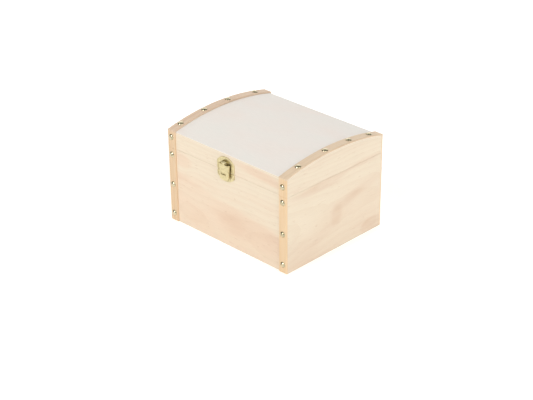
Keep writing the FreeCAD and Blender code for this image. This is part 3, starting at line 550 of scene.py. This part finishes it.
for side, places in bent_nail_places.items():
    for y in places:
        lean = -math.asin(y / strap_radius)
        height = bend_axis + math.sqrt(strap_radius ** 2 - y ** 2)
        lid_nails.append(Matrix.Translation((side * nail_x, y, height)) @ Matrix.Rotation(lean, 4, "X"))
set_fasteners("lid_nails", nail, lid_nails, nail_brass, "lid", "lid_strip_nails")
bpy.data.objects.remove(nail)


# Clasp plates.
# Two plates stamped from thin brass, with raised rims: the lid's has two ears and the box's has a lug.
# Small domed pins hold them to the lid's rail and to the front board.
# their brass is pale, and so uneven from the stamping that it glows more than it mirrors
clasp_brass = bright_metal(
    "brass_plate_clasp", tone="#D9CCA1", tarnish="#B9AD80", grit_size=1.1, relief=0.5, gloss=(0.32, 0.5))
dress(["clasp_plate", "catch_plate"], clasp_brass)
pin = domed_pattern(
    "clasp_pin_pattern", radius=0.0013, height=0.0006, lip=0.0001, shank=0.0005, length=0.005)
plate_thickness = 0.0006
plate_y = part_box("front_wall")[0].y - plate_thickness
for name, body, spread, height in (("clasp_plate_pins", "lid", 0.010, 0.101875),
                                   ("catch_plate_pins", "base", 0.0106, 0.090225)):
    places = [Matrix.Translation((side * spread, plate_y, height)) @ outward[-1] for side in (-1, 1)]
    set_fasteners(f"domed_{name}", pin, places, clasp_brass, body, name)
bpy.data.objects.remove(pin)


# Hasp.
# A brass strip pressed to a shallow channel with sloping sides, its neck rolled round a steel pin.
# It swings on the pin, which the ears hold, and the slot near its lower end drops over the lug.
def pick(piece, test):
    """Selects the edges of a piece in edit mode whose two ends both pass a test."""
    bpy.ops.mesh.select_mode(type="EDGE")
    bpy.ops.mesh.select_all(action="DESELECT")
    mesh = bmesh.from_edit_mesh(piece.data)
    for edge in mesh.edges:
        if all(test(vertex.co) for vertex in edge.verts):
            edge.select_set(True)
    bmesh.update_edit_mesh(piece.data)


def combine(piece, operation, tool):
    """Cuts a tool out of a piece, keeps only what they share, or joins it on, and removes the tool."""
    bpy.ops.object.select_all(action="DESELECT")
    bpy.context.view_layer.objects.active = piece
    work = piece.modifiers.new("work", "BOOLEAN")
    work.operation = operation
    work.object = tool
    bpy.ops.object.modifier_apply(modifier=work.name)
    bpy.data.objects.remove(tool)


dress(["hasp_pin"], pin_steel)
hasp_low, hasp_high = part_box("hasp")
hasp_half, hasp_front, hasp_tip = hasp_high.x, hasp_low.y, hasp_low.z
strip = 0.0009
roll_radius, bore_radius = 0.00165, 0.00075
axis_y, axis_z = hasp_front + roll_radius, hasp_high.z - roll_radius
shoulder_drop = 0.00205
shoulder = axis_z - shoulder_drop
side_depth, side_slope, fold_width = 0.0029, 0.0012, 0.0012
taper_depth, taper_length = 0.0012, 0.0164
face_half = hasp_half - side_slope
near = 1e-5

# the face, with its sides folded back and tapering towards the tip
bpy.ops.mesh.primitive_plane_add(
    size=1, location=(0, hasp_front, (hasp_tip + shoulder) / 2), rotation=(math.radians(90), 0, 0))
hasp = bpy.context.object
hasp.name = "bent_hasp"
hasp.scale = (2 * face_half, shoulder - hasp_tip, 1)
bpy.ops.object.transform_apply()
bpy.ops.object.mode_set(mode="EDIT")
for side in (-1, 1):
    pick(hasp, lambda point: point.x * side > face_half - near)
    bpy.ops.mesh.extrude_region_move(
        TRANSFORM_OT_translate={"value": (side * side_slope, side_depth, 0)})
bpy.ops.mesh.select_all(action="SELECT")
bpy.ops.mesh.bisect(
    plane_co=(0, hasp_front + side_depth, shoulder), plane_no=(0, 1, -taper_depth / taper_length),
    clear_outer=True, threshold=1e-7)
pick(hasp, lambda point: abs(point.x) > face_half - near and point.y < hasp_front + near)
bpy.ops.mesh.bevel(offset=fold_width, segments=6, affect="EDGES")
bpy.ops.mesh.select_all(action="SELECT")
bpy.ops.mesh.normals_make_consistent(inside=False)
bpy.ops.object.mode_set(mode="OBJECT")
sheet = hasp.modifiers.new("sheet", "SOLIDIFY")
sheet.thickness = strip
sheet.offset = -1
bpy.ops.object.modifier_apply(modifier=sheet.name)

# the lower end is cut to an arc
tip_radius = 0.0149
bpy.ops.mesh.primitive_cylinder_add(
    vertices=160, radius=tip_radius, depth=0.02, rotation=(math.radians(90), 0, 0),
    location=(0, hasp_front, hasp_tip + tip_radius))
combine(hasp, "INTERSECT", bpy.context.object)

# the slot that drops over the lug
slot_height, slot_size = 0.093125, (0.0076, 0.004, 0.0021)
bpy.ops.mesh.primitive_cube_add(size=1, location=(0, hasp_front, slot_height), scale=slot_size)
combine(hasp, "DIFFERENCE", bpy.context.object)

# the neck, which runs into the face and the roll, and then the roll, bored for the pin
neck_half, neck_overlap, bore_length = 0.0018, 0.001, 0.01
bpy.ops.mesh.primitive_cube_add(
    size=1, location=(0, hasp_front + strip / 2, (shoulder + axis_z) / 2),
    scale=(2 * neck_half, strip, axis_z - shoulder + neck_overlap))
combine(hasp, "UNION", bpy.context.object)
for operation, radius, width in (
        ("UNION", roll_radius, 2 * neck_half), ("DIFFERENCE", bore_radius, bore_length)):
    bpy.ops.mesh.primitive_cylinder_add(
        vertices=64, radius=radius, depth=width, location=(0, axis_y, axis_z),
        rotation=(0, math.radians(90), 0))
    combine(hasp, operation, bpy.context.object)
hasp.select_set(True)
ease = hasp.modifiers.new("eased_edges", "BEVEL")
ease.width = 0.00015
ease.segments = 2
ease.limit_method = "ANGLE"
ease.angle_limit = math.radians(40)
bpy.ops.object.modifier_apply(modifier=ease.name)
bpy.ops.object.shade_smooth_by_angle(angle=math.radians(35))
hasp.data.materials.clear()
hasp.data.materials.append(clasp_brass)
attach(hasp, "hasp")
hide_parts("hasp")


# Studio: a plain pale floor and a bright backdrop, with a soft light high in front, one to the right,
# and a darker gap between them.
bpy.ops.mesh.primitive_plane_add(size=60, location=(0, 0, 0))
floor = bpy.context.object
floor.name = "floor"
floor_paint = bpy.data.materials.new("matt_white_floor")
floor_paint.use_nodes = True
paint = floor_paint.node_tree.nodes["Principled BSDF"].inputs
paint["Base Color"].default_value = linear("#F6F5F3")
paint["Roughness"].default_value = 0.95
paint["Specular IOR Level"].default_value = 0
paint["Emission Color"].default_value = (1, 1, 1, 1)
paint["Emission Strength"].default_value = 0.27
floor.data.materials.append(floor_paint)

# the white walls of the room show as bright as the floor, but they give only a weak fill
world = bpy.data.worlds.new("studio")
bpy.context.scene.world = world
world.use_nodes = True
walls = world.node_tree.nodes["Background"].inputs
walls["Color"].default_value = (1, 1, 1, 1)
seen = add(world.node_tree, "ShaderNodeLightPath").outputs["Is Camera Ray"]
fill = add(world.node_tree, "ShaderNodeMapRange", inputs={"Value": seen, "To Min": 0.18, "To Max": 1})
world.node_tree.links.new(fill.outputs["Result"], walls["Strength"])


def direction(azimuth, elevation):
    """From the object towards a place round it; azimuth 0 is straight in front, 90 to the right."""
    a, e = math.radians(azimuth), math.radians(elevation)
    return Vector((math.sin(a) * math.cos(e), -math.cos(a) * math.cos(e), math.sin(e)))


for name, azimuth, elevation, strength, spread in (
        ("front_softbox", -4, 33, 0.553, 40), ("right_softbox", 82, 25, 0.595, 50),
        ("backdrop", 224, 30, 0.66, 90)):
    lamp = bpy.data.lights.new(name, "SUN")
    lamp.energy = strength * math.pi
    lamp.angle = math.radians(spread)
    light = bpy.data.objects.new(name, lamp)
    light.rotation_euler = direction(azimuth, elevation).to_track_quat("Z", "Y").to_euler()
    bpy.context.scene.collection.objects.link(light)


# Camera: placed and turned so that the box's edges fall where they do in the photograph.
# It looks at a point low in the box, from the right and above, with a slight roll.
aim = Vector((-0.004607, -0.009724, 0.030772))
distance = 1.61127
towards_camera = direction(azimuth=44.791, elevation=27.803)
roll = Quaternion((0, 0, 1), math.radians(-0.599))
camera = bpy.data.objects.new("camera", bpy.data.cameras.new("camera"))
camera.location = aim + towards_camera * distance
camera.rotation_euler = (towards_camera.to_track_quat("Z", "Y") @ roll).to_euler()
camera.data.sensor_width = 36
camera.data.lens = 92.55
bpy.context.scene.collection.objects.link(camera)
bpy.context.scene.camera = camera
bpy.context.scene.view_settings.view_transform = "Standard"
